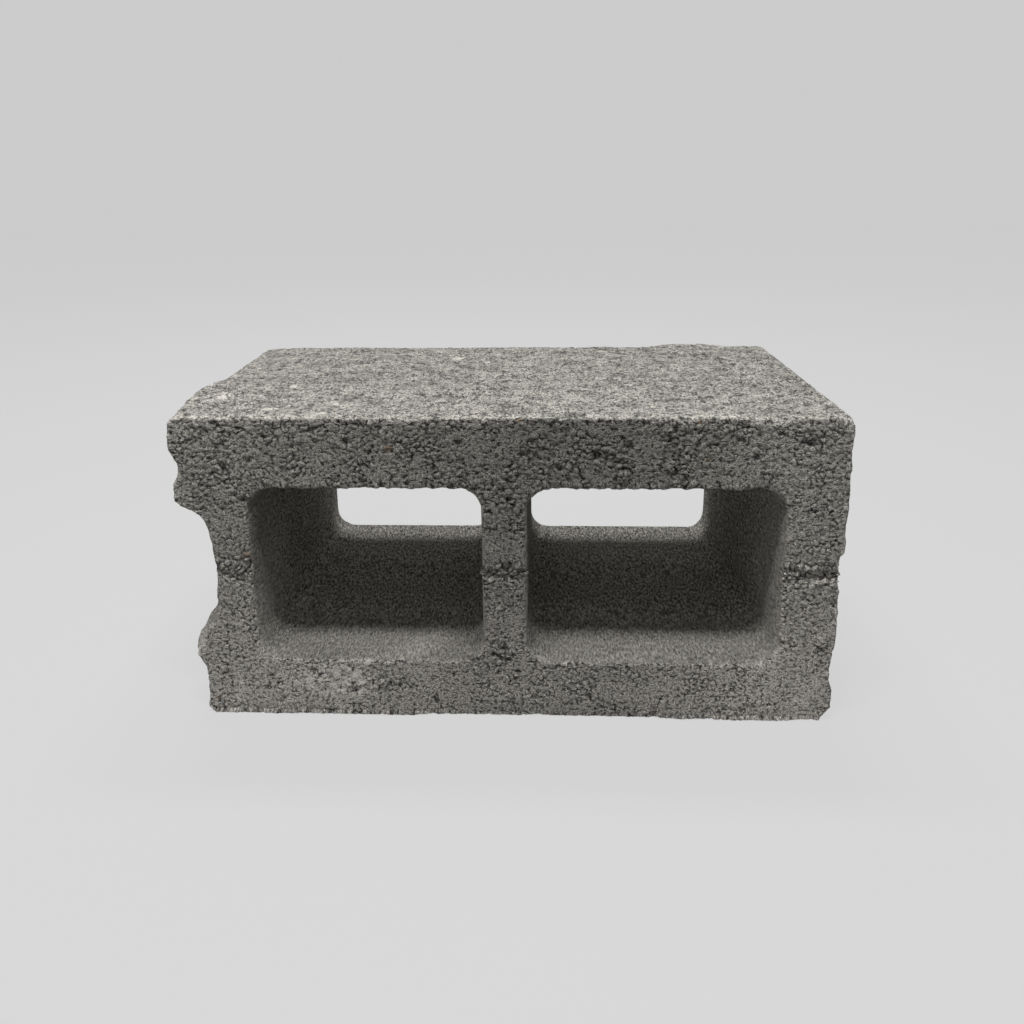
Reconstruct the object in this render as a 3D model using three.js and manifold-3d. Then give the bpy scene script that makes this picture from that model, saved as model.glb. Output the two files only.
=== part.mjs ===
// A two-core concrete masonry unit in the stretcher pattern, with one plain end and one frogged end.
// It is one casting, pressed in a steel mould round two tapered cores.
//
// Millimetres, +Z up. X runs along the block, from the frogged end at -X to the plain end at +X. Y runs along
// the cores: the bed face that lay on top in the mould, where the walls are thinnest, is at -Y. Z runs across
// the two face shells. The block lies on its lower shell, with the origin under its middle.

import * as THREE from "three";
import Module from "manifold-3d";
import { mergeVertices } from "three/addons/utils/BufferGeometryUtils.js";

// The whole block
const blockLength = 390;
const blockHeight = 190; // one course without its joint, along Y
const blockThickness = 192; // over both face shells, along Z
const shellArris = 3.5; // radius of the four long worn edges
const bedArris = 1.6; // bevel worn round each bed face and each core's mouths

// Face shells and webs, as thick as they are at the moulded top
const lowerShell = 37.5;
const upperShell = 42;
const plainWeb = 34;
const centreWeb = 26.5;
const centreWebOffset = -1.5; // the centre web stands this far towards +X of the block's middle
const froggedWeb = 22; // behind the deepest line of the end recess

// Draft of the cores: how far each wall leans in by the moulded bottom
const shellDraft = 3;
const endWebDraft = 7;
const centreWebDraft = 3;
const coreCorner = 14; // radius between a core's walls

// The frogged end: two ears with a recess between them
const earHeight = 51; // from the shell's outer face to the ear's inner tip
const earTip = 3; // radius at that tip
const earLean = 12; // how far the ear's inner side leans over its depth
const recessDepth = 16.5; // at the foot of each ear
const recessBow = 4; // how much deeper the recess is halfway between the ears
const recessFillet = 14; // radius at the foot of each ear
const recessBowRadius = 150;

// The mortar groove that runs along each ear
const grooveInset = 31; // from the shell's outer face to the middle of the groove
const grooveWidth = 19;
const grooveDepth = 3.5;
const grooveLip = 2; // radius where the groove meets the ear's face

// The mark of the core bar across the webs on the moulded top
const barMarkWidth = 11;
const barMarkDepth = 2.6;

// Fineness of the curves, and how far a cutting shape runs past the face that it cuts
const arcSteps = 4; // half the number of straight steps in one rounded corner
const overrun = 5;

const halfLength = blockLength / 2;
const halfHeight = blockHeight / 2;
const middle = blockThickness / 2;

const wasm = await Module();
wasm.setup();

/** The solid that a closed geometry encloses. */
function toManifold(geometry) {
  const bare = geometry.clone();
  bare.deleteAttribute("normal");
  bare.deleteAttribute("uv");
  const merged = mergeVertices(bare, 1e-4);
  const vertProperties = new Float32Array(merged.attributes.position.array);
  const triVerts = new Uint32Array(merged.index.array);
  return new wasm.Manifold(new wasm.Mesh({ numProp: 3, vertProperties, triVerts }));
}

/** The geometry of a solid. */
function toGeometry(manifold) {
  const { vertProperties, triVerts } = manifold.getMesh();
  const geometry = new THREE.BufferGeometry();
  geometry.setAttribute("position", new THREE.BufferAttribute(vertProperties, 3));
  geometry.setIndex(new THREE.BufferAttribute(triVerts, 1));
  geometry.computeVertexNormals();
  return geometry;
}

/** The outline through a ring of corners, each { x, z, radius }, with an arc at every corner. */
function roundedOutline(corners) {
  const path = new THREE.Path();
  corners.forEach((corner, i) => {
    const before = corners[(i + corners.length - 1) % corners.length];
    const after = corners[(i + 1) % corners.length];
    const here = new THREE.Vector2(corner.x, corner.z);
    const back = new THREE.Vector2(before.x, before.z).sub(here).normalize();
    const on = new THREE.Vector2(after.x, after.z).sub(here).normalize();
    const half = Math.acos(back.dot(on)) / 2;
    const start = here.clone().addScaledVector(back, corner.radius / Math.tan(half));
    const bisector = back.clone().add(on).normalize();
    const centre = here.clone().addScaledVector(bisector, corner.radius / Math.sin(half));
    const end = here.clone().addScaledVector(on, corner.radius / Math.tan(half));
    const from = start.sub(centre).angle();
    const to = end.sub(centre).angle();
    const clockwise = back.cross(on) > 0;
    path.absarc(centre.x, centre.y, corner.radius, from, to, clockwise);
  });
  return path.getPoints(arcSteps);
}

/** The outline grown outwards by a distance, or shrunk where the distance is negative. */
function grown(outline, distance) {
  const outward = THREE.ShapeUtils.isClockWise(outline) ? -1 : 1;
  return outline.map((point, i) => {
    const before = outline[(i + outline.length - 1) % outline.length];
    const after = outline[(i + 1) % outline.length];
    const along = after.clone().sub(before).normalize();
    const normal = new THREE.Vector2(along.y, -along.x).multiplyScalar(outward);
    return point.clone().addScaledVector(normal, distance);
  });
}

/** A solid skinned over outlines of equal point counts, each { y, outline }, in order of y. */
function loft(sections) {
  const count = sections[0].outline.length;
  const positions = sections.flatMap(({ y, outline }) => outline.flatMap((p) => [p.x, y, p.y]));
  const faces = [];
  for (let s = 0; s + 1 < sections.length; s++) {
    for (let i = 0; i < count; i++) {
      const a = s * count + i;
      const b = s * count + ((i + 1) % count);
      faces.push([a, a + count, b], [b, a + count, b + count]);
    }
  }
  const last = (sections.length - 1) * count;
  const first = THREE.ShapeUtils.triangulateShape(sections[0].outline, []);
  const final = THREE.ShapeUtils.triangulateShape(sections.at(-1).outline, []);
  first.forEach(([a, b, c]) => faces.push([a, b, c]));
  final.forEach(([a, b, c]) => faces.push([last + a, last + c, last + b]));
  const inward = THREE.ShapeUtils.isClockWise(sections[0].outline);
  const geometry = new THREE.BufferGeometry();
  geometry.setAttribute("position", new THREE.Float32BufferAttribute(positions, 3));
  geometry.setIndex(faces.flatMap(([a, b, c]) => (inward ? [a, c, b] : [a, b, c])));
  return geometry;
}

/** The block's outline across its cores, drawn counterclockwise as seen from -Y. */
function blockOutline() {
  const endX = -halfLength;
  const floorX = endX + recessDepth;
  const earCorners = (side) => {
    const shellZ = middle + side * middle;
    const inwards = (distance) => shellZ - side * distance;
    return [
      { x: endX, z: shellZ, radius: shellArris },
      { x: endX, z: inwards(grooveInset - grooveWidth / 2), radius: grooveLip },
      { x: endX + grooveDepth, z: inwards(grooveInset - grooveWidth / 4), radius: grooveWidth / 3 },
      { x: endX + grooveDepth, z: inwards(grooveInset + grooveWidth / 4), radius: grooveWidth / 3 },
      { x: endX, z: inwards(grooveInset + grooveWidth / 2), radius: grooveLip },
      { x: endX, z: inwards(earHeight), radius: earTip },
      { x: floorX, z: inwards(earHeight + earLean), radius: recessFillet },
    ];
  };
  const plainCorner = (z) => ({ x: halfLength, z, radius: shellArris });
  const deepest = { x: floorX + recessBow, z: middle, radius: recessBowRadius };
  return roundedOutline([
    plainCorner(0),
    plainCorner(blockThickness),
    ...earCorners(1),
    deepest,
    ...earCorners(-1).reverse(),
  ]);
}

/** The block before its cores are drawn, with a bevel round both bed faces. */
function blank() {
  const outline = blockOutline();
  const bevelled = grown(outline, -bedArris);
  return loft([
    { y: -halfHeight, outline: bevelled },
    { y: -halfHeight + bedArris, outline },
    { y: halfHeight - bedArris, outline },
    { y: halfHeight, outline: bevelled },
  ]);
}

/** One tapered core from its walls at the moulded top and how far each leans in by the bottom. */
function core({ left, right, leftDraft, rightDraft }) {
  const outlineAt = (y) => {
    const share = (y + halfHeight) / blockHeight;
    const x0 = left + share * leftDraft;
    const x1 = right - share * rightDraft;
    const z0 = lowerShell + share * shellDraft;
    const z1 = blockThickness - upperShell - share * shellDraft;
    return roundedOutline([
      { x: x0, z: z0, radius: coreCorner },
      { x: x1, z: z0, radius: coreCorner },
      { x: x1, z: z1, radius: coreCorner },
      { x: x0, z: z1, radius: coreCorner },
    ]);
  };
  const mouth = (y) => grown(outlineAt(y), bedArris);
  return loft([
    { y: -halfHeight - overrun, outline: mouth(-halfHeight) },
    { y: -halfHeight, outline: mouth(-halfHeight) },
    { y: -halfHeight + bedArris, outline: outlineAt(-halfHeight + bedArris) },
    { y: halfHeight - bedArris, outline: outlineAt(halfHeight - bedArris) },
    { y: halfHeight, outline: mouth(halfHeight) },
    { y: halfHeight + overrun, outline: mouth(halfHeight) },
  ]);
}

/** The round trough that the core bar leaves along the moulded top; the cores part it into three. */
function barMark() {
  const radius = (barMarkWidth ** 2 / 4 + barMarkDepth ** 2) / (2 * barMarkDepth);
  const trough = new THREE.CylinderGeometry(radius, radius, blockLength + 2 * overrun, 32);
  trough.rotateZ(Math.PI / 2);
  trough.translate(0, -halfHeight - radius + barMarkDepth, middle);
  return trough;
}

/** The whole unit. */
function concreteBlock() {
  const froggedCore = core({
    left: -halfLength + recessDepth + recessBow + froggedWeb,
    right: centreWebOffset - centreWeb / 2,
    leftDraft: endWebDraft,
    rightDraft: centreWebDraft,
  });
  const plainCore = core({
    left: centreWebOffset + centreWeb / 2,
    right: halfLength - plainWeb,
    leftDraft: centreWebDraft,
    rightDraft: endWebDraft,
  });
  return [froggedCore, plainCore, barMark()].reduce(
    (solid, cut) => solid.subtract(toManifold(cut)),
    toManifold(blank()),
  );
}

const concrete = new THREE.MeshStandardMaterial({ color: 0x6e6c66, roughness: 0.95, metalness: 0 });
const block = new THREE.Mesh(toGeometry(concreteBlock()), concrete);
block.name = "concrete_block";

const group = new THREE.Group();
group.add(block);

export default group;
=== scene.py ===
"""The worn concrete block: its cast body with lumps, pits and chipped arrises, on a pale studio floor."""

from math import radians

import bmesh
import bpy
from mathutils import Euler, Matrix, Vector


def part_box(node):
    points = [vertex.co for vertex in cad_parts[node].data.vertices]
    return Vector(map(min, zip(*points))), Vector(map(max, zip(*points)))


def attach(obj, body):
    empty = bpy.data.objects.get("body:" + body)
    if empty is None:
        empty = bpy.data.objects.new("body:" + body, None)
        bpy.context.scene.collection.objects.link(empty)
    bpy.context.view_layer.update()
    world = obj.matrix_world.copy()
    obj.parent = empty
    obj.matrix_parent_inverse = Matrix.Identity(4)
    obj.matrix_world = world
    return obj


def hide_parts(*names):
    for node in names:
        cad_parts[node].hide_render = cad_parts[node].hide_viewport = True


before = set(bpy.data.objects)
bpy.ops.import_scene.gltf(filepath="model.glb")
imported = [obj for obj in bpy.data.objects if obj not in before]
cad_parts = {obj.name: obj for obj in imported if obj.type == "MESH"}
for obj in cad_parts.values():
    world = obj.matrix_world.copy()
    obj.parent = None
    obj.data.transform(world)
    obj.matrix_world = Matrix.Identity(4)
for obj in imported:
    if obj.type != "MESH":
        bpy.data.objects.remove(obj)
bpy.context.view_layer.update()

MM = 0.001
NODE = "concrete_block"
BODY = "root"
LOW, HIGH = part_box(NODE)
LENGTH, DEPTH, HEIGHT = ((HIGH[i] - LOW[i]) / MM for i in range(3))


class Value:
    """The output of a node. Arithmetic on it adds Math nodes, or Vector Math nodes for vectors."""

    def __init__(self, tree, socket):
        self.tree = tree
        self.socket = socket

    def is_vector(self):
        return self.socket.type in ("VECTOR", "RGBA")

    def _math(self, operation, *operands):
        vectors = any(isinstance(operand, Value) and operand.is_vector() for operand in operands)
        kind = "ShaderNodeVectorMath" if vectors else "ShaderNodeMath"
        return self.tree.add(kind, {"operation": operation}, dict(enumerate(operands)))

    def __add__(self, other):
        return self._math("ADD", self, other)

    __radd__ = __add__

    def __sub__(self, other):
        return self._math("SUBTRACT", self, other)

    def __rsub__(self, other):
        return self._math("SUBTRACT", other, self)

    def __mul__(self, other):
        other_is_vector = isinstance(other, tuple) or (isinstance(other, Value) and other.is_vector())
        if self.is_vector() == other_is_vector:
            return self._math("MULTIPLY", self, other)
        vector, number = (self, other) if self.is_vector() else (other, self)
        inputs = {"Vector": vector, "Scale": number}
        return self.tree.add("ShaderNodeVectorMath", {"operation": "SCALE"}, inputs)

    __rmul__ = __mul__

    def __truediv__(self, other):
        return self * (1 / other)

    def __rtruediv__(self, other):
        return self._math("DIVIDE", other, self)

    def __abs__(self):
        return self._math("ABSOLUTE", self)

    def __neg__(self):
        return self * -1

    def __pow__(self, exponent):
        return self._math("POWER", self, exponent)

    def least(self, other):
        return self._math("MINIMUM", self, other)

    def most(self, other):
        return self._math("MAXIMUM", self, other)

    def rises(self, low, high):
        """0 below low and 1 above high, smooth between; the other way round where low is above high."""
        settings = {"interpolation_type": "SMOOTHSTEP"}
        inputs = {"Value": self, "From Min": low, "From Max": high}
        return self.tree.add("ShaderNodeMapRange", settings, inputs)

    def parts(self):
        node = self.tree.add("ShaderNodeSeparateXYZ", {}, {0: self}).socket.node
        return [Value(self.tree, output) for output in node.outputs]

    def sibling(self, output):
        """Another output of the same node."""
        return Value(self.tree, self.socket.node.outputs[output])

    def length(self):
        return self.tree.add("ShaderNodeVectorMath", {"operation": "LENGTH"}, {0: self}, "Value")

    def along(self, way):
        """How far a vector reaches along a way one unit long."""
        settings = {"operation": "DOT_PRODUCT"}
        return self.tree.add("ShaderNodeVectorMath", settings, {0: self, 1: way}, "Value")


class Tree:
    """A node tree of any kind, and the one way to add a node to it."""

    def __init__(self, tree):
        self.tree = tree

    def add(self, kind, settings, inputs, output=0):
        """Adds a node: its settings first, then its inputs by name or number. Returns one output."""
        node = self.tree.nodes.new(kind)
        for name, value in settings.items():
            setattr(node, name, value)
        for name, value in inputs.items():
            socket = node.inputs[name]
            if isinstance(value, Value):
                self.tree.links.new(value.socket, socket)
            else:
                socket.default_value = value
        return Value(self, node.outputs[output] if node.outputs else None)

    def noise(self, place, size, detail, roughness=0.5, output="Fac"):
        """Soft noise from 0 to 1 whose blotches are about size millimetres apart."""
        inputs = {"Vector": place / size, "Scale": 1.0, "Detail": detail, "Roughness": roughness}
        return self.add("ShaderNodeTexNoise", {}, inputs, output)

    def cells(self, place, size, feature="F1"):
        """How far a place is from the middle or the edge of its cell, about size millimetres across."""
        inputs = {"Vector": place / size, "Scale": 1.0}
        return self.add("ShaderNodeTexVoronoi", {"feature": feature}, inputs, "Distance")

    def mix(self, factor, first, second):
        """first where factor is 0 and second where it is 1, for numbers."""
        inputs = {0: factor, 2: first, 3: second}
        return self.add("ShaderNodeMix", {"data_type": "FLOAT"}, inputs)

    def vector(self, x, y, z):
        return self.add("ShaderNodeCombineXYZ", {}, {0: x, 1: y, 2: z})


def new_geometry_tree(name, inputs):
    """A Geometry Nodes tree with a geometry in and out and named numbers in."""
    group = bpy.data.node_groups.new(name, "GeometryNodeTree")
    group.interface.new_socket("Geometry", in_out="INPUT", socket_type="NodeSocketGeometry")
    for label, value in inputs.items():
        socket = group.interface.new_socket(label, in_out="INPUT", socket_type="NodeSocketFloat")
        socket.default_value = value
    group.interface.new_socket("Geometry", in_out="OUTPUT", socket_type="NodeSocketGeometry")
    tree = Tree(group)
    entry = group.nodes.new("NodeGroupInput")
    values = {output.name: Value(tree, output) for output in entry.outputs if output.name}
    return group, tree, values


def close_tree(tree, geometry, material):
    """Ends a Geometry Nodes tree in Realize Instances and Set Material."""
    real = tree.add("GeometryNodeRealizeInstances", {}, {"Geometry": geometry})
    painted = tree.add("GeometryNodeSetMaterial", {}, {"Geometry": real, "Material": material})
    tree.add("NodeGroupOutput", {}, {0: painted})


def store(tree, geometry, name, value):
    """Keeps a number or a vector on every point of the mesh under a name."""
    settings = {"data_type": "FLOAT_VECTOR" if value.is_vector() else "FLOAT", "domain": "POINT"}
    inputs = {"Geometry": geometry, "Name": name, "Value": value}
    return tree.add("GeometryNodeStoreNamedAttribute", settings, inputs)


# ---------------------------------------------------------------- the cast body

# How finely the body is meshed before its relief, in millimetres, and how it is thinned afterwards:
# the parts that each pass spares and the triangles that it keeps in all
MESH_STEP = 1.0
THINNING = (
    (("front", "top", "back"), 400_000),
    (("front", "top"), 300_000),
    (("front",), 200_000),
    ((), 190_000),
)

# The sizes of the relief, which its tree takes by name. The first three are shares, and the others
# are in millimetres.
RELIEF_SIZES = {
    "Relief": 1.0,  # how much of the crumbs' height shows
    "Arris wear": 0.5,  # how far the arrises are rounded off
    "Mouth wear": -0.25,  # and the arrises of the cores' mouths, which stand out instead
    "Swell": 1.4,  # how far the outer faces roll, in long waves
    "Unevenness": 0.8,  # and in short ones
    "End unevenness": 1.6,  # and how much further on the ends
    "Proud": 0.3,  # how far the outer faces stand out
    "Arris proud": 0.7,  # and how much further the front arrises do
    "Stone rise": 0.5,
    "Pebble rise": 1.3,
    "Hollow depth": 0.9,
    "Pit depth": 1.8,
    "Seam depth": 0.5,
    "Dip depth": 0.8,
    "Bar wander": 8.0,  # how far the rough band of the bar mark wanders up and down
    "Patch fill": 1.9,  # how high crumbs fill the trough of the bar mark in patches
    "Web fill": 2.2,  # and on the webs
    "Lip sag": 0.7,  # how far the lips over the cores' mouths hang at the least
    "More sag": 1.3,  # and as much more as some crumbs do
    "End lean": 0.9,  # how far the ends lean out towards the upper shell
    "Foot spread": 1.7,  # how far crumbs stand out along the foot of the front
}

# Chips knocked off the arrises, in millimetres: a point on the broken face, the way that it faces,
# and how far round that point it reaches
CHIPS = {
    "lower ear, outer half": ((-186.6, -95, 4), (-1, -0.1, 0.02), 36),
    "lower ear, inner slope": ((-185.4, -90, 61.5), (-0.81, 0, 0.59), 13),
    "lower ear, inner slope behind": ((-184.2, -74, 60.5), (-0.81, 0, 0.59), 20),
    "lower ear, inner slope far behind": ((-185.4, -54, 60.5), (-0.81, 0, 0.59), 17),
    "lower ear, inner arris": ((-184.2, -95, 54), (-0.8, -0.46, 0.37), 26),
    "lower ear, front facet": ((-179.6, -95, 56.2), (-0.65, -0.71, 0.28), 22),
    "lower ear, groove lip": ((-192.2, -95, 41), (-0.75, -0.2, -0.6), 8),
    "lower ear, bottom corner": ((-183.4, -95, 1.6), (-0.66, -0.3, -0.7), 10),
    "upper arris, over the frogged core": ((-57, -95, 189), (0, -0.8, 0.6), 9),
    "upper arris, over the plain core": ((52, -95, 190.4), (0, -0.7, 0.7), 10),
    "upper arris, right of it": ((116, -95, 190), (0, -0.7, 0.7), 10),
    "upper arris, over the plain web": ((148, -95, 188.5), (0, -0.75, 0.66), 13),
    "upper arris, right corner": ((187, -95, 189.5), (0.35, -0.6, 0.7), 13),
    "plain end, bottom corner": ((191.5, -95, 5.5), (0.72, -0.4, -0.57), 15),
    "plain end, at the bar mark": ((191.8, -95, 97.5), (0.9, -0.45, 0), 13),
    "plain end, low": ((192.6, -95, 35), (0.95, -0.3, 0), 15),
}

# How rough a broken face is, in millimetres, the size of its lumps, the share of its reach within
# which it is whole, and the depth over which its paste goes from worn to clean
CHIP_ROUGHNESS, CHIP_LUMP, CHIP_WHOLE = 1.6, 5, 0.7
CLEAN_PASTE_DEPTH = (0.8, 2.5)

# Where the block came out proud of true, in millimetres: the middle of the swelling, how far it
# reaches and how proud it stands. Then the share of its reach within which it is whole
SWELLINGS = {
    "upper ear, outer face": ((-195, -45, 180), 48, 4.2),
    "upper ear, front": ((-195, -95, 172), 26, 1.6),
    "upper ear, inner tip": ((-193, -92, 140.5), 11, 1.2),
    "upper shell, far edge": ((135, 92, 192), 38, 2.4),
}
SWELLING_WHOLE = 0.2

# Spots on the block's skin, in millimetres: the middle of each and its radius. First the holes in
# the open face where paste came away
PITS = {
    "frogged web, low": ((-151, -95, 49), 2.6),
    "lower shell, left": ((-146, -95, 26), 1.8),
    "under the smear": ((-94.5, -95, 16), 3.0),
    "beside it": ((-104, -95, 17), 1.7),
    "lower shell, left of the middle": ((-44, -95, 10), 2.0),
    "lower shell, at the mouth": ((30.5, -95, 34.5), 2.4),
    "lower shell, middle": ((50, -95, 14), 2.2),
    "lower shell, right": ((135, -95, 20), 2.2),
    "plain web, low": ((162, -95, 51), 1.9),
    "plain web, at the bar mark": ((167, -95, 100), 3.0),
    "plain web, in the bar mark": ((171.5, -95, 94), 2.6),
    "core corner": ((-155.5, -95, 142), 2.8),
    "upper arris, left": ((-168.3, -95, 189.5), 2.6),
    "upper ear": ((-165.5, -95, 164), 2.2),
    "upper shell, left": ((-141, -95, 181), 1.9),
    "beside the pebble": ((-92.5, -95, 178), 2.6),
    "over the frogged core": ((-79, -95, 171), 2.2),
    "over the centre web": ((-27, -95, 177), 2.4),
    "centre web, top": ((1, -95, 143), 2.0),
    "over the plain core": ((52, -95, 170), 4.0),
    "over the plain core, high": ((71, -95, 175), 2.8),
    "upper shell, right": ((142.5, -95, 168), 2.4),
    "upper corner, right": ((172.5, -95, 177), 3.6),
}

# Narrow black gaps between crumbs, where the core bar dragged at the centre and plain webs
CREVICES = {
    "foot, left": ((-8.4, -95, 41.6), 2.3),
    "foot, beside it": ((-4.9, -95, 40.1), 2.1),
    "foot, right": ((-0.3, -95, 38.3), 2.3),
    "foot, high": ((-2.6, -95, 46), 2.4),
    "foot, far right": ((3.7, -95, 41.1), 1.5),
    "foot, low": ((5.5, -95, 30.8), 1.8),
    "bar mark, left": ((-8.3, -95, 95.8), 2.4),
    "bar mark, high": ((-2.3, -95, 100.6), 2.0),
    "bar mark, higher": ((1.4, -95, 101.9), 1.7),
    "bar mark, right": ((4.2, -95, 94.2), 2.4),
    "bar mark, far right": ((7.7, -95, 97.4), 2.0),
    "bar mark, far left": ((-11.9, -95, 93.4), 1.8),
    "high on the left": ((-10.1, -95, 134.8), 1.6),
    "plain web, in the bar mark": ((162, -95, 99.5), 2.2),
    "plain web, beside it": ((167.5, -95, 95), 2.4),
}
CREVICE_SQUEEZE = (0.8, 1.0, 1.3)

# Coarse crumbs that stand out of the open face, with a dark seam round each
PEBBLES = {
    "upper ear": ((-167, -95, 180), 4.0),
    "over the frogged core": ((-99, -95, 178), 3.6),
    "lower shell, left of the middle": ((-77, -95, 22), 4.0),
    "beside it": ((-68, -95, 24), 3.6),
    "under the smear": ((-99, -95, 21), 3.0),
    "centre web, foot": ((-18, -95, 33), 4.5),
    "over the plain core": ((68, -95, 157), 4.5),
    "beside that one": ((94, -95, 163), 4.0),
    "plain end, low": ((187, -95, 53), 4.5),
    "under the upper arris": ((92, -95, 184), 4.5),
}

# Patches of the open face where the mix was driest and coarse crumbs stand apart
DRY_PATCHES = {
    "centre web, foot": ((-4, -95, 40), 15),
    "centre web, at the bar mark": ((-2, -95, 99), 10),
    "centre web, top": ((0, -95, 144), 12),
    "plain web, at the bar mark": ((170, -95, 97), 14),
    "lower shell, middle": ((45, -95, 20), 14),
    "lower shell, right": ((115, -95, 24), 13),
    "lower shell, left of the middle": ((-72, -95, 22), 12),
    "upper ear": ((-167, -95, 164), 13),
    "upper shell, left": ((-125, -95, 166), 10),
    "upper shell, middle": ((55, -95, 172), 13),
    "upper shell, right of the middle": ((95, -95, 184), 13),
    "upper corner, right": ((172, -95, 177), 10),
}

# Pale grains that show on the upper shell and in the smear
PALE_GRAINS = {
    "far, in the middle": ((-39.6, 53.6, 192), 3.2),
    "beside it": ((-16.5, 40.5, 192), 2.0),
    "far, right": ((66.4, 79, 192), 2.6),
    "right of the middle": ((79, -22.4, 192), 2.2),
    "near, left": ((-175.5, -59, 192), 3.0),
    "near, at the arris": ((-141, -76.4, 192), 3.4),
    "near, left of the middle": ((-103.4, -68, 192), 3.0),
    "near, in the middle": ((-73.5, -57, 192), 2.4),
    "far, left": ((-179, 24, 192), 2.2),
    "left of the middle": ((-141.6, -26, 192), 2.0),
    "at the arris": ((-107.8, -84.7, 192), 3.0),
    "in the smear": ((-86.6, -95, 34.6), 1.9),
    "plain end, low": ((173.8, -95, 15), 1.2),
}

# Grains of tan stone that show on the open face, their colour, and how much of it they take
TAN_GRAINS = {
    "over the frogged core": ((-68, -95, 174), 2.2),
    "at the arris over the centre web": ((8, -95, 191), 1.6),
    "over the plain core": ((110, -95, 190), 1.5),
    "beside it": ((115.5, -95, 167), 1.4),
    "in the frogged web": ((-155.5, -95, 107), 1.8),
    "at the foot of the lower ear": ((-182, -95, 10), 1.5),
}
TAN, TAN_SHARE = (0.55, 0.40, 0.26), 0.7

# Where cement slurry dried pale on the lower shell
SMEAR = {"under the frogged core": ((-106, -95, 23), 32)}
SMEAR_SQUEEZE = (1.0, 1.0, 2.4)

# How far apart the stones, the large crumbs, the small ones, the pinholes and the coarsest of the
# grit lie, in millimetres
STONE, CRUMB, SMALL_CRUMB, PINHOLE, GRIT = 8.5, 4.2, 2.0, 2.1, 1.0

# Crumbs lie flat: how much wider they are than high. The small ones are laid out apart from the
# large ones.
CRUMB_FLATTENING = (1.0, 1.0, 1.35)
SMALL_CRUMB_SHIFT = (31.0, 7.0, 13.0)

# Where the parts of the block begin and end. Each pair runs from where a point doesn't belong to the
# part at all to where it wholly does. These lie along X, in millimetres from the middle
FROGGED_WEB = (-140, -155)
FROGGED_WEB_WALL = (-130, -145)
PLAIN_CORE = (0, 20)
PLAIN_WEB_WALL = (138, 148)
RECESS_FLOOR = (172, 166)
CENTRE_WEB = (20, 15)
ENDS = (150, 165)

# These lie inside the outline round both cores, in millimetres
CORES = (24, 30)
CORE_RIMS = (14, 20)

# These lie off the middle of the bar mark, in millimetres
BAR_BAND = (10, 4)
BAR_TROUGH = (6.5, 0.5)

# The two halves of the bar mark on the plain web, in millimetres: the middle of each along X, and its
# pair off that middle. Crumbs fill the inner one, and the trough stays open in the outer one.
INNER_HALF, INNER_REACH = 162, (14, 8)
OUTER_HALF, OUTER_REACH = 182, (12, 6)

# These lie behind an outer face, in millimetres
RIM = (11, 6)
SKIN = (8, 4)
ARRIS = (5, 3)

# And this is how squarely a face looks one way
FACING = (0.5, 0.85)
LOOSELY_FACING = (0.3, 0.7)


def warped(tree, place, size, amount):
    """The place bent about by soft noise, so that what is laid on it isn't regular."""
    bend = tree.noise(place, size, 1, output="Color") - (0.5, 0.5, 0.5)
    return place + bend * (2 * amount)


def crumb_edges(tree, place):
    """How far a place lies inside the edge of its large crumb and of its small one, in their sizes."""
    large = tree.cells(place, CRUMB, "DISTANCE_TO_EDGE")
    small = tree.cells(place + SMALL_CRUMB_SHIFT, SMALL_CRUMB, "DISTANCE_TO_EDGE")
    return large, small


def spots_away(place, spots, squeeze=(1.0, 1.0, 1.0)):
    """How far off the nearest spot's middle lies, as a share of that spot's radius."""
    nearest = None
    for middle, radius in spots.values():
        share = ((place - middle) * squeeze).length() / radius
        nearest = share if nearest is None else nearest.least(share)
    return nearest


def shaved(tree, place):
    """How far each point moves to lie on the broken faces of the chips, one chip after another."""
    rough = (tree.noise(place, CHIP_LUMP, 3) - 0.5) * CHIP_ROUGHNESS
    now = place
    for point, facing, reach in CHIPS.values():
        facing = tuple(Vector(facing).normalized())
        away = now - point
        proud = (away.along(facing) + rough).most(0)
        now = now - proud * away.length().rises(reach, reach * CHIP_WHOLE) * facing
    return now - place


def swollen(place):
    """How far each point stands proud of true."""
    proud = None
    for middle, reach, rise in SWELLINGS.values():
        part = (place - middle).length().rises(reach, reach * SWELLING_WHOLE) * rise
        proud = part if proud is None else proud + part
    return proud


class Block:
    """Where each point of the block lies, in millimetres, and how far it belongs to each part, 0 to 1."""

    def __init__(self, tree):
        # here is in metres, and place in millimetres
        self.here = tree.add("GeometryNodeInputPosition", {}, {})
        self.place = self.here * (1 / MM)
        self.normal = tree.add("GeometryNodeInputNormal", {}, {})
        self.x, self.y, self.z = self.place.parts()
        faces_x, faces_y, self.faces_up = self.normal.parts()

        # How deep a point lies behind the front, the back and the top, and inside the outline round
        # both cores
        self.behind_front = self.y + DEPTH / 2
        behind_back = DEPTH / 2 - self.y
        self.below_top = HEIGHT - self.z
        inside = (LENGTH / 2 - abs(self.x)).least(self.z).least(self.below_top)

        # The cores' walls, and the rims round their mouths, at the front and at the back
        self.in_core = inside.rises(*CORES) * abs(faces_y).rises(*reversed(FACING))
        self.mouth = inside.rises(*CORE_RIMS) * self.behind_front.least(behind_back).rises(*RIM)

        # The outer faces
        self.front = (-faces_y).rises(*FACING) * self.behind_front.rises(*SKIN)
        self.back = faces_y.rises(*FACING) * behind_back.rises(*SKIN)
        self.top = self.faces_up.rises(*FACING) * self.below_top.rises(*SKIN)
        self.end = abs(faces_x).rises(*FACING) * (1 - self.in_core)
        self.under = (-self.faces_up).rises(0.5, 0.8) * self.z.rises(*SKIN)

        # The arris where the front turns to the ends and to the shells' outer faces
        turning = (-faces_y).rises(0.3, 0.6) * (-faces_y).rises(0.97, 0.85) * (1 - self.mouth)
        self.front_arris = turning * self.behind_front.rises(*ARRIS)


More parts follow.
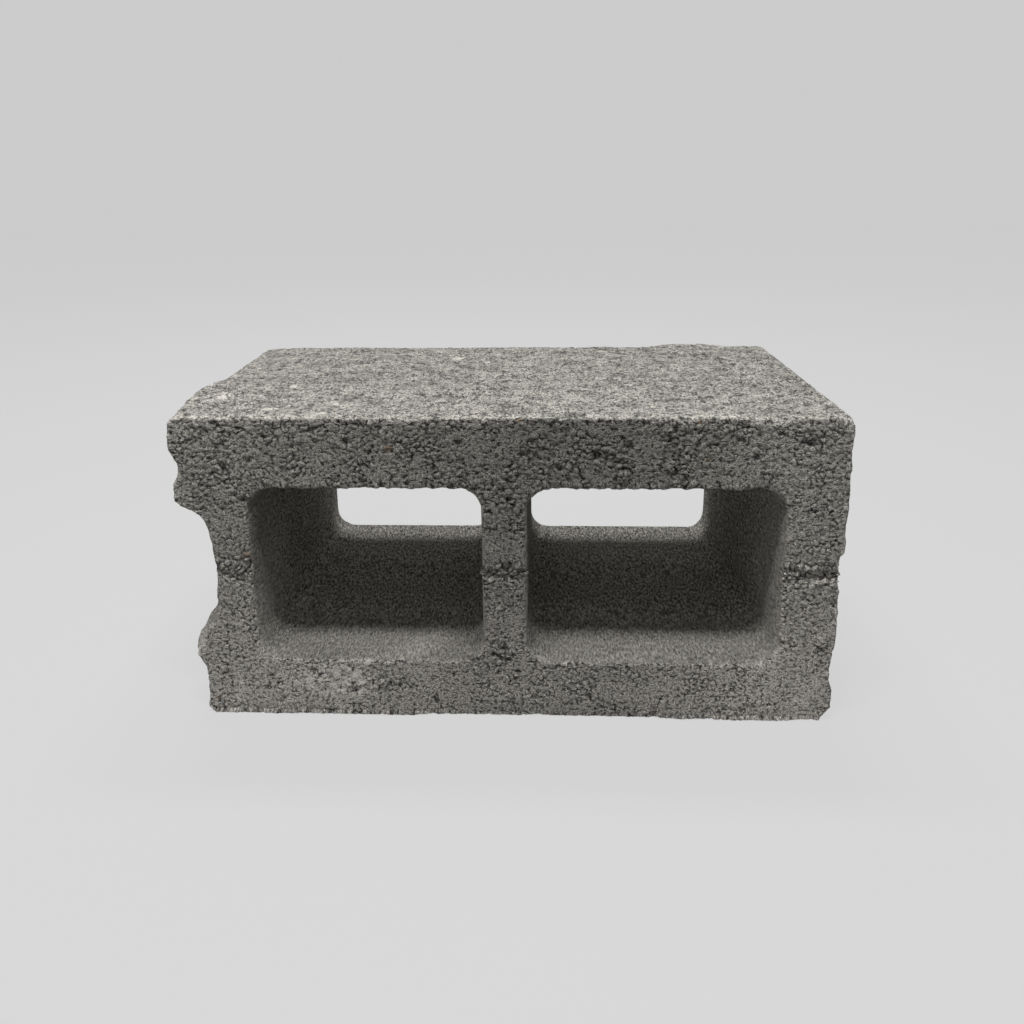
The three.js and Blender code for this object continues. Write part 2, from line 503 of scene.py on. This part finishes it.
# How many passes of smoothing wear an arris round, and how many crumble it
ROUNDING, CRUMBLING = 8, 50


def wear(tree, block, given):
    """How far each point moves, in metres, as the arrises wear round and crumble."""
    place, mouth, front_arris = block.place, block.mouth, block.front_arris
    settings = {"data_type": "FLOAT_VECTOR"}
    rounded, crumbled = (
        tree.add("GeometryNodeBlurAttribute", settings, {"Value": block.here, "Iterations": passes})
        for passes in (ROUNDING, CRUMBLING)
    )

    # Most arrises crumble here and there, the front ones over longer stretches, and the mouths all
    # along the walls of the end webs
    from_middle = abs(block.x)
    here_and_there = tree.noise(place, 8, 3).rises(0.56, 0.74)
    here_and_there = here_and_there * (1 - 0.8 * mouth) * (1 - 0.6 * front_arris)
    stretches = tree.noise(place, 22, 2).rises(0.52, 0.7) * front_arris * 0.8
    end_webs = from_middle.rises(*PLAIN_WEB_WALL) * from_middle.rises(*RECESS_FLOOR) * mouth * 0.7
    crumble = (here_and_there + stretches).most(end_webs)

    round_off = tree.mix(mouth, given["Arris wear"], given["Mouth wear"]) * (1 - front_arris)
    return (rounded - block.here) * round_off + (crumbled - block.here) * crumble


def bar_mark(tree, block, given):
    """Where the core bar roughened the open face, and how high crumbs fill its trough, in millimetres."""
    off_bar = block.z - HEIGHT / 2
    wander = (tree.noise(block.place, 16, 1) - 0.5) * given["Bar wander"]
    rough = abs(off_bar + wander).rises(*BAR_BAND) * block.front

    # Crumbs fill the trough on the centre web and on the inner half of the plain web. They lie in it
    # in patches elsewhere, but for the plain web's outer half, where it stays open
    stays_open = abs(block.x - OUTER_HALF).rises(*OUTER_REACH)
    patches = tree.noise(block.place, 13, 2).rises(0.42, 0.6) * (1 - stays_open)
    plain_web = abs(block.x - INNER_HALF).rises(*INNER_REACH)
    webs = abs(block.x).rises(*CENTRE_WEB).most(plain_web * 0.8)
    filled = (patches * given["Patch fill"]).most(webs * given["Web fill"])
    return rough, filled * abs(off_bar).rises(*BAR_TROUGH) * block.front


class Crumbs:
    """How the concrete's skin varies: dry or wet, coarse or fine, open or closed, and stony."""

    def __init__(self, tree, block, bar):
        self.torn = warped(tree, block.place, 4, 1.4)
        self.bent = warped(tree, block.place, 3.5, 0.9) * CRUMB_FLATTENING

        # Where the mix was dry, and where crumbs are coarse and not fine
        patches = spots_away(self.torn, DRY_PATCHES).rises(1.3, 0.2) * 0.5
        elsewhere = tree.noise(block.place, 24, 2).rises(0.38, 0.6) * 0.34
        self.dry = patches.most(elsewhere) * block.front
        self.broken = tree.noise(block.place, 12, 3).rises(0.45, 0.58).most(self.dry * 1.6)

        # Stones lie among the crumbs, and each one's cell has a colour of its own to tell them apart
        self.from_stone = tree.cells(self.bent, STONE)
        self.stone_kind = self.from_stone.sibling("Color").parts()

        # How open the texture is: most on the bed faces, high up, and where the core bar tore it
        bed = block.front.most(block.back) * (0.3 + 0.4 * block.z.rises(120, 160))
        openness = 0.3 + bed + 0.3 * block.top + 0.6 * bar.most(self.dry)
        self.openness = openness.least(1.3) * (1 - 0.85 * block.in_core)

        # The rolling surface of the upper shell's face, which lay against the mould
        self.roll = tree.noise(block.place, 6.5, 3, 0.7)
        self.dips = self.roll.rises(0.49, 0.36) * block.top


def texture(tree, block, crumbs, bar, given):
    """How high crumbs and stones stand, in millimetres, and how much painted shade darkens the hollows
    between them.
    """
    broken, dry = crumbs.broken, crumbs.dry
    large, small = crumb_edges(tree, crumbs.bent)
    fine = small.rises(0, 0.3) * 0.4 * (1 - broken)
    lumps = large.rises(0, 0.3) * (0.3 + 0.7 * broken) + fine
    stones = crumbs.from_stone.rises(0.44, 0.2) * crumbs.stone_kind[0].rises(0.78, 0.86)

    # The skin is hollow in the gaps round crumbs where they have parted, and in small pits
    parted = tree.noise(block.place, 4, 1).rises(0.5, 0.6).most(dry * 0.8)
    gaps = large.rises(0.07 + 0.05 * dry, 0) * parted
    hollow = gaps.most(tree.noise(crumbs.bent, 5, 2).rises(0.63, 0.69)) * (1 - 0.8 * stones)

    height = (lumps - 0.4) * (0.65 + 1.4 * bar.most(dry * 0.7))
    height = height + stones * given["Stone rise"] - hollow * given["Hollow depth"]
    height = height * crumbs.openness * given["Relief"] - crumbs.dips * given["Dip depth"]
    return height, hollow * crumbs.openness.least(1) * (1 - 0.5 * block.back)


def named_spots(block, crumbs, given):
    """How high the pebbles stand over the pits and crevices, in millimetres, and how much painted shade
    darkens them and the pebbles' seams.
    """
    pits = spots_away(crumbs.torn, PITS).rises(1.1, 0.3)
    crevices = spots_away(crumbs.torn, CREVICES, CREVICE_SQUEEZE).rises(1.0, 0.5)
    from_pebble = spots_away(crumbs.torn, PEBBLES)
    seams = from_pebble.rises(1.4, 1.0) * from_pebble.rises(0.8, 1.0) * crumbs.broken
    height = from_pebble.rises(1.0, 0.3) * given["Pebble rise"]
    depth = pits.most(crevices) * given["Pit depth"] + seams * given["Seam depth"]
    hollow = (pits * 0.75).most(seams * 0.8).most(crevices * 1.2)
    return (height - depth) * block.front, hollow * block.front


def rolling(tree, block, given):
    """How far the outer faces roll out, in millimetres: the ends most, the resting face not at all."""
    outer = 1 - block.in_core
    long_waves = (tree.noise(block.place, 55, 1) - 0.5) * given["Swell"] * (1 - 0.7 * block.in_core)
    unevenness = given["Unevenness"] + given["End unevenness"] * block.end
    short_waves = (tree.noise(block.place, 14, 2) - 0.5) * unevenness
    rolled = (long_waves + short_waves + given["Proud"]) * (1 - block.under)
    return (rolled + swollen(block.place)) * outer + block.front_arris * given["Arris proud"]


def slip(tree, block, given):
    """How far each point moves, in metres, where the green block slumped as it left the mould."""
    # Crumbs hang from the lip over each core's mouth
    lip = block.behind_front.rises(7, 2) * block.faces_up.rises(-0.1, -0.5) * block.mouth
    ragged = tree.noise(block.place, 5, 2).rises(0.35, 0.7)
    hung = lip * (given["Lip sag"] + given["More sag"] * ragged)

    # Both ends lean out towards the upper shell
    outwards = block.x.rises(*ENDS) - (-block.x).rises(*ENDS)
    lean = outwards * block.z.rises(95, 125) * given["End lean"]

    # Crumbs stand out along the foot of the front
    along = block.x.rises(-40, -60) + block.x.rises(85, 105) * block.x.rises(180, 165)
    spread = along * block.front_arris * block.z.rises(10, 4) * given["Foot spread"]
    return tree.vector(lean, -spread, -hung) * MM


def front_tone_and_painted_light(tree, block):
    """How much paler or darker the open face is from place to place; the paleness low down is partly
    painted light, and the dark along the foot is a painted shadow.
    """
    x, z = block.x, block.z
    beside_recess = z.rises(70, 95) * z.rises(152, 135)
    streaks = tree.noise(block.place, 5, 3, 0.7).rises(0.48, 0.54)
    shares = {
        "the whole face": (-0.25, 1),
        "towards the plain end": (0.4, x.rises(60, 165)),
        "towards the frogged end": (0.4, x.rises(30, -185) * (1 - 0.5 * beside_recess)),
        # Low down the face is paler, partly paler paste and partly painted light from below; along the
        # foot it is darker, a painted shadow
        "low down": (0.16, z.rises(110, 20)),
        "along the foot": (-0.14, z.rises(16, 0)),
        "smear": (1.8, spots_away(block.place, SMEAR, SMEAR_SQUEEZE).rises(1, 0.5) * streaks),
    }
    return 1 + block.front * sum(share * part for share, part in shares.values())


# The blotches that lie everywhere: how far apart they are, in millimetres, and how much paler the
# palest are than the darkest
BLOTCHES = {"large": (40, 0.2), "middling": (10, 0.24), "small": (4.5, 0.32)}


def clouded_with_painted_dip_shade(tree, block, crumbs):
    """How pale the blotches are, and the cloudy tone of the upper shell's face, with painted shade in the
    dips of its roll and painted light on its crests.
    """
    wash = 1
    for size, contrast in BLOTCHES.values():
        wash = wash * (1 + contrast * (tree.noise(block.place, size, 2) - 0.5))
    clouds = 0.84 + 0.32 * tree.noise(block.place, 15, 3, 0.7).rises(0.36, 0.62)
    # Painted shade in the dips of the roll, and painted light on its crests
    clouds = clouds * (1 - 0.45 * crumbs.dips) * (1 + 0.3 * crumbs.roll.rises(0.53, 0.7))
    return wash * tree.mix(block.top, 1.0, clouds)


def part_tones_and_painted_core_light(block):
    """How much paler each part of the block is than the rest, with painted light and shade inside the
    cores.
    """
    x, y, z = block.x, block.y, block.z
    near = y.rises(-30, -75)
    floor = block.in_core * block.faces_up.rises(*LOOSELY_FACING)
    frogged_wall = block.in_core * x.rises(*FROGGED_WEB_WALL)
    plain_wall = block.in_core * x.rises(*PLAIN_WEB_WALL)
    plain_core = block.in_core * x.rises(*PLAIN_CORE)
    shares = {
        "upper shell": (0.04, block.top),
        "upper shell, far": (-0.08, block.top * y.rises(-60, 0)),
        "front, plain end": (0.08, block.front * x.rises(120, 160)),
        "front, frogged web, high": (0.06, block.front * x.rises(*FROGGED_WEB) * z.rises(75, 95)),
        # The rest are painted light and shade inside the cores: paler deep in the cores, on the plain
        # core's far floor and low on both webs' walls, as painted light; darker on the frogged core's
        # near floor, high on the frogged web's wall and deep in the plain core, as painted shade
        "cores, deep": (0.12, block.in_core * (1 - near)),
        "frogged core, near floor": (-0.16, floor * near * x.rises(10, -20)),
        "frogged web's wall, high": (-0.3, frogged_wall * z.rises(60, 100)),
        "frogged web's wall, low": (0.23, frogged_wall * z.rises(75, 50)),
        "plain core, deep": (-0.07, plain_core * y.rises(80, 60) * y.rises(-75, -30)),
        "plain core, far floor": (0.1, floor * y.rises(60, 80) * x.rises(*PLAIN_CORE)),
        "plain web's wall, low": (0.1, plain_wall * z.rises(80, 60)),
    }
    wash = 1
    for share, part in shares.values():
        wash = wash * (1 + share * part)
    return wash


def worn_and_highlit(tree, block):
    """How much paler the front arrises are, partly worn paste and partly a painted highlight: the upper
    one most, on both sides. The mouths' floors get painted light.
    """
    x, z, behind, facing_up = block.x, block.z, block.behind_front, block.faces_up
    patchy = tree.noise(block.place, 18, 2).rises(0.46, 0.6)
    upper_edge = behind.rises(9, 2) * facing_up.rises(*LOOSELY_FACING) * block.below_top.rises(*SKIN)
    under_edge = block.front * block.below_top.rises(9, 3) * patchy
    painted_mouth_floor_light = block.mouth * behind.rises(*SKIN) * facing_up.rises(0.2, 0.6)
    # Painted highlight along the arrises, partly worn paste, and painted light on the floors of the
    # cores' mouths
    wear_and_highlight = upper_edge * (1 + 0.7 * x.rises(-40, -120))
    wear_and_highlight = wear_and_highlight.most(block.front_arris * z.rises(5, 15) * 0.7)
    wear_and_highlight = wear_and_highlight.most(under_edge * 0.5).most(painted_mouth_floor_light * 0.3)
    scuffs = 0.1 + 0.7 * tree.noise(block.place, 5, 2).rises(0.4, 0.6)
    return 1 + wear_and_highlight * scuffs * (0.5 + 0.5 * patchy)


def grains(crumbs):
    """How much paler the grains of pale stone are, here and there and where they are named."""
    scattered = crumbs.from_stone.rises(0.26, 0.14) * crumbs.stone_kind[1].rises(0.93, 0.94)
    named = spots_away(crumbs.torn, PALE_GRAINS).rises(1.15, 0.7)
    return (1 + 0.6 * scattered) * (1 + 2.0 * named)


def relief_tree(material):
    """Lumps, pits and worn arrises on the cast body."""
    group, tree, given = new_geometry_tree("cast relief", RELIEF_SIZES)
    block = Block(tree)
    bar, filled = bar_mark(tree, block, given)
    crumbs = Crumbs(tree, block, bar)
    skin, gaps = texture(tree, block, crumbs, bar, given)
    spots, spot_painted_shade = named_spots(block, crumbs, given)
    offcut = shaved(tree, block.place)
    height = skin + spots + filled + rolling(tree, block, given)
    offset = wear(tree, block, given) + block.normal * (height * MM)
    offset = offset + offcut * MM + slip(tree, block, given)

    # How pale the paste is from place to place, with painted light and shade folded in. Broken faces show
    # clean paste, and part of their paleness is painted light.
    clean = 1 + 0.7 * offcut.length().rises(*CLEAN_PASTE_DEPTH)
    wash = front_tone_and_painted_light(tree, block) * clouded_with_painted_dip_shade(tree, block, crumbs) * part_tones_and_painted_core_light(block)
    wash = wash * worn_and_highlit(tree, block) * clean * grains(crumbs)

    kept = {
        "rest": block.here,
        "crumb_place": crumbs.bent,
        "openness": crumbs.openness,
        "in_core": block.in_core,
        "front": block.front,
        "back": block.back,
        "top": block.top,
        "wash": wash,
        "tan": spots_away(block.place, TAN_GRAINS).rises(1.2, 0.6),
        "broken": crumbs.broken,
        # hollow: how much painted shade darkens the gaps, pits, crevices and pebbles' seams
        "hollow": gaps.most(spot_painted_shade),
    }
    mesh = given["Geometry"]
    for name, value in kept.items():
        mesh = store(tree, mesh, name, value)
    moved = tree.add("GeometryNodeSetPosition", {}, {"Geometry": mesh, "Offset": offset})
    close_tree(tree, moved, material)
    return group


def fine_copy(node):
    """An even fine mesh of a CAD node's solid."""
    mesh = node.data.copy()
    shape = bmesh.new()
    shape.from_mesh(mesh)
    bmesh.ops.remove_doubles(shape, verts=shape.verts, dist=1e-6)
    shape.to_mesh(mesh)
    shape.free()
    piece = bpy.data.objects.new("block_body", mesh)
    bpy.context.scene.collection.objects.link(piece)
    remesh = piece.modifiers.new("even", "REMESH")
    remesh.mode = "VOXEL"
    remesh.voxel_size = MESH_STEP * MM
    return piece


def settle(piece):
    """Turns a piece's modifiers into plain mesh."""
    seen = piece.evaluated_get(bpy.context.evaluated_depsgraph_get())
    mesh = bpy.data.meshes.new_from_object(seen)
    piece.modifiers.clear()
    piece.data = mesh


def thin(piece, spared, kept):
    """Thins the mesh outside the spared parts until kept triangles are left in all."""
    mesh = piece.data
    masks = [mesh.attributes[part].data for part in spared]
    outside = [i for i in range(len(mesh.vertices)) if all(mask[i].value < 0.5 for mask in masks)]
    free = piece.vertex_groups.new(name="free")
    free.add(outside, 1.0, "REPLACE")
    coarse = piece.modifiers.new("thin", "DECIMATE")
    coarse.ratio = kept / sum(len(face.vertices) - 2 for face in mesh.polygons)
    coarse.vertex_group = free.name
    settle(piece)
    piece.vertex_groups.clear()


def cast_body(material):
    """The block's own mesh, with its relief."""
    piece = fine_copy(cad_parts[NODE])
    settle(piece)
    relief = piece.modifiers.new("relief", "NODES")
    relief.node_group = relief_tree(material)
    settle(piece)
    for spared, kept in THINNING:
        thin(piece, spared, kept)
    piece.data.shade_smooth()
    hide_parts(NODE)
    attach(piece, BODY)


# ---------------------------------------------------------------- finish

# The paste's tone, and by what share painted shade makes it darker on the cores' walls, in the cracks
# and in the hollows
PASTE = 0.51
CORE_PAINTED_SHADE, GAP_PAINTED_SHADE, HOLLOW_PAINTED_SHADE = 0.25, 0.72, 0.6
TONE_LIMITS = (0.02, 0.95)

# How far the grit's tone goes from grain to grain: on the outer faces, then what is added on the
# cores' walls and deep in the cores, where the added contrast is painted shading of the relief under
# raking light. The power makes the dark grains darker than the pale ones are pale.
GRIT_CONTRAST, CORE_CONTRAST, DEEP_PAINTED_CONTRAST = 3.3, -0.9, 1.8
GRIT_POWER = 1.7

# The paste's red and blue against its green, and how much ruddier the foot of the open face is
WARMTH = (1.041, 0.912)
RUDDY = 0.009

# Grit lies flatter towards the top of the block, by so much more on each millimetre, and is drawn
# out along the cores' walls, which slid off the steel. The pinholes are laid out apart from it.
GRIT_FLATTENING, FLATTER_PER_MM = 1.25, 0.0009
GRIT_DRAWN = (0.85, 0.3, 0.9)
PINHOLE_SHIFT = (9.0, 57.0, 3.0)

# The height of the fine bumps, in millimetres, and how far each thing rises or drops, as shares of it
BUMP_HEIGHT = 0.6
GRIT_RISE, CORE_GRIT_RISE, GAP_DROP, CRUMB_RISE = 3.4, 3.0, 1.1, 0.5


def empty_tree(owner):
    """The node tree of a material or a world, with nothing in it."""
    owner.use_nodes = True
    owner.node_tree.nodes.clear()
    return Tree(owner.node_tree)


def concrete():
    """Open-textured grey concrete: packed grains, with seams and pits between them darkened by painted
    shade.
    """
    material = bpy.data.materials.new("worn_concrete")
    tree = empty_tree(material)

    def kept(name, output="Fac"):
        return tree.add("ShaderNodeAttribute", {"attribute_name": name}, {}, output)

    in_core, openness, broken = kept("in_core"), kept("openness"), kept("broken")
    place = kept("rest", "Vector") * (1 / MM)
    x, y, z = place.parts()
    flat = tree.vector(x, y, z * (GRIT_FLATTENING + FLATTER_PER_MM * z))
    on_faces, on_walls = (tree.noise(where, GRIT, 2, 0.85) for where in (flat, place * GRIT_DRAWN))
    grit = tree.mix(in_core, on_faces, on_walls) - 0.5

    # The cracks run round large crumbs in the broken patches and round small ones in the others
    large, small = crumb_edges(tree, kept("crumb_place", "Vector"))
    loose = tree.noise(flat + PINHOLE_SHIFT, PINHOLE, 0)
    pinhole = (loose + grit * 0.45).rises(0.66, 0.7)
    crack = (large + grit * 0.5).rises(0.12, 0.03) * loose.rises(0.4, 0.52) * broken
    fissure = (small + grit * 0.8).rises(0.1, 0) * loose.rises(0.42, 0.54) * (1 - broken) * 0.6
    gap = crack.most(fissure).most(pinhole) * (openness * 1.5).least(1) * (1 - 0.3 * kept("back"))
    rounding = small.least(0.25) * (1 - broken) * 3 * openness
    height = grit * (GRIT_RISE + CORE_GRIT_RISE * in_core) - gap * GAP_DROP + rounding * CRUMB_RISE

    # Deep in the cores the grit's extra contrast is painted shading of the relief
    contrast = GRIT_CONTRAST + CORE_CONTRAST * in_core + DEEP_PAINTED_CONTRAST * in_core * y.rises(-75, -30)
    # Painted shade: the paste is darker on the cores' walls, in the cracks, fissures and pinholes, and in
    # the hollows
    painted_shade = (1 - CORE_PAINTED_SHADE * in_core) * (1 - GAP_PAINTED_SHADE * gap) * (1 - HOLLOW_PAINTED_SHADE * kept("hollow"))
    grain = (1 + contrast * grit).most(0.01) ** GRIT_POWER
    darkest, palest = TONE_LIMITS
    tone = (PASTE * painted_shade * kept("wash") * grain).least(palest).most(darkest)

    ruddy = kept("front") * z.rises(130, 50) * RUDDY
    red, blue = (tone * (share + ruddy) for share in WARMTH)
    grey = tree.add("ShaderNodeCombineColor", {}, {0: red, 1: tone, 2: blue})
    tinted = {0: kept("tan") * TAN_SHARE, 6: grey, 7: (*TAN, 1.0)}
    colour = tree.add("ShaderNodeMix", {"data_type": "RGBA"}, tinted, 2)
    sizes = {"Height": height, "Distance": BUMP_HEIGHT * MM, "Strength": 1.0}
    bump = tree.add("ShaderNodeBump", {}, sizes)
    finish = {"Base Color": colour, "Roughness": 0.95, "Specular IOR Level": 0.2, "Normal": bump}
    surface = tree.add("ShaderNodeBsdfPrincipled", {}, finish)
    tree.add("ShaderNodeOutputMaterial", {}, {"Surface": surface})
    return material


# ---------------------------------------------------------------- studio

# The camera's place in the block's frame, in millimetres, its turn, its dip and its roll in
# degrees, its focal length and optical centre in pixels of a 1024-pixel frame, the width of its
# sensor in millimetres, and the nearest that it sees, in metres
CAMERA_PLACE = (14.3, -544.4, 331.4)
CAMERA_YAW, CAMERA_DIP, CAMERA_ROLL = 2.58, 12.70, -0.77
FRAME_PIXELS = 1024
FOCAL_PIXELS = 825.8
OPTICAL_CENTRE = (494, 353)
SENSOR = 36.0
NEAREST_SEEN = 0.01


def make_camera():
    data = bpy.data.cameras.new("camera")
    data.sensor_width = SENSOR
    data.lens = FOCAL_PIXELS * SENSOR / FRAME_PIXELS
    data.shift_x = 0.5 - OPTICAL_CENTRE[0] / FRAME_PIXELS
    data.shift_y = OPTICAL_CENTRE[1] / FRAME_PIXELS - 0.5
    data.clip_start = NEAREST_SEEN
    camera = bpy.data.objects.new("camera", data)
    bpy.context.scene.collection.objects.link(camera)
    camera.location = Vector(CAMERA_PLACE) * MM
    turn = Euler((radians(90 - CAMERA_DIP), 0, radians(CAMERA_YAW))).to_matrix()
    roll = Euler((0, 0, radians(CAMERA_ROLL))).to_matrix()
    camera.rotation_euler = (turn @ roll).to_euler()
    bpy.context.scene.camera = camera


def soft_lamp(name, size, power):
    data = bpy.data.lights.new(name, "AREA")
    data.shape = "RECTANGLE"
    data.size, data.size_y = size
    data.energy = power
    lamp = bpy.data.objects.new(name, data)
    bpy.context.scene.collection.objects.link(lamp)
    return lamp


# The long soft lamps over the block: how far each is tilted from overhead towards the front, in
# degrees, its power in watts and its size in metres. They hang this far from the block's middle,
# and this far along its length.
LAMPS = {
    "front_strip": (18, 15, (0.9, 0.18)),
    "back_strip": (-16, 11, (0.9, 0.18)),
    "front_fill": (40, 1.6, (0.9, 0.7)),
    "back_fill": (-38, 1.5, (0.9, 0.7)),
}
LAMP_REACH = 1.6
LAMP_OFFSET = -0.09


def hang_lamps():
    for name, (tilt, power, size) in LAMPS.items():
        lamp = soft_lamp(name, size, power)
        turn = Euler((radians(tilt), 0, 0)).to_matrix()
        lamp.location = turn @ Vector((0, 0, LAMP_REACH)) + Vector((LAMP_OFFSET, 0, HEIGHT / 2 * MM))
        lamp.rotation_euler = turn.to_euler()


# The pale cards laid round the foot of the block: how many degrees round from the front each lies,
# how wide they are and how high over the floor, in millimetres, and what each gives for the block's
# whole length
CARDS = {"front": 0, "right": 90, "back": 180, "left": 270}
CARD_WIDTH, CARD_LIFT = 110, 1
CARD_POWER = 0.05


def lay_cards():
    """Pale cards laid flat round the block's foot that throw light back up it, unseen themselves."""
    for side, around in CARDS.items():
        along_length = around in (0, 180)
        across, depth = (LENGTH, DEPTH) if along_length else (DEPTH, LENGTH)
        card = soft_lamp(side + "_card", (across * MM, CARD_WIDTH * MM), CARD_POWER * across / LENGTH)
        turn = Euler((0, 0, radians(around))).to_matrix()
        card.location = turn @ Vector((0, -(depth + CARD_WIDTH) / 2, CARD_LIFT)) * MM
        card.rotation_euler = (radians(180), 0, radians(around))
        card.visible_camera = False


# How pale the floor is to the light, and to the eye: a part that takes the block's shadow and a
# part that doesn't. What is seen over the floor's edge is as pale as the far floor, and lights the
# block less than that.
FLOOR_SIZE = 8
FLOOR_BOUNCE, FLOOR_SHADED, FLOOR_GLOW = 0.27, 0.10, 0.585
BACKDROP, DOME = 0.60, 0.125
WHITE = (1, 1, 1, 1)


def make_floor():
    bpy.ops.mesh.primitive_plane_add(size=FLOOR_SIZE, location=(0, 0, 0))
    floor = bpy.context.object
    floor.name = "studio_floor"
    material = bpy.data.materials.new("pale_floor")
    tree = empty_tree(material)
    seen = tree.add("ShaderNodeLightPath", {}, {}, "Is Camera Ray")
    tone = FLOOR_BOUNCE + seen * (FLOOR_SHADED - FLOOR_BOUNCE)
    colour = tree.add("ShaderNodeCombineColor", {}, {0: tone, 1: tone, 2: tone})
    matt = tree.add("ShaderNodeBsdfDiffuse", {}, {"Color": colour})
    glow = tree.add("ShaderNodeEmission", {}, {"Color": WHITE, "Strength": seen * FLOOR_GLOW})
    surface = tree.add("ShaderNodeAddShader", {}, {0: matt, 1: glow})
    tree.add("ShaderNodeOutputMaterial", {}, {"Surface": surface})
    floor.data.materials.append(material)


def make_world():
    world = bpy.data.worlds.new("studio")
    bpy.context.scene.world = world
    tree = empty_tree(world)
    seen = tree.add("ShaderNodeLightPath", {}, {}, "Is Camera Ray")
    strength = DOME + seen * (BACKDROP - DOME)
    sky = tree.add("ShaderNodeBackground", {}, {"Color": WHITE, "Strength": strength})
    tree.add("ShaderNodeOutputWorld", {}, {"Surface": sky})


cast_body(concrete())
make_camera()
make_floor()
make_world()
hang_lamps()
lay_cards()
bpy.context.scene.view_settings.view_transform = "Standard"
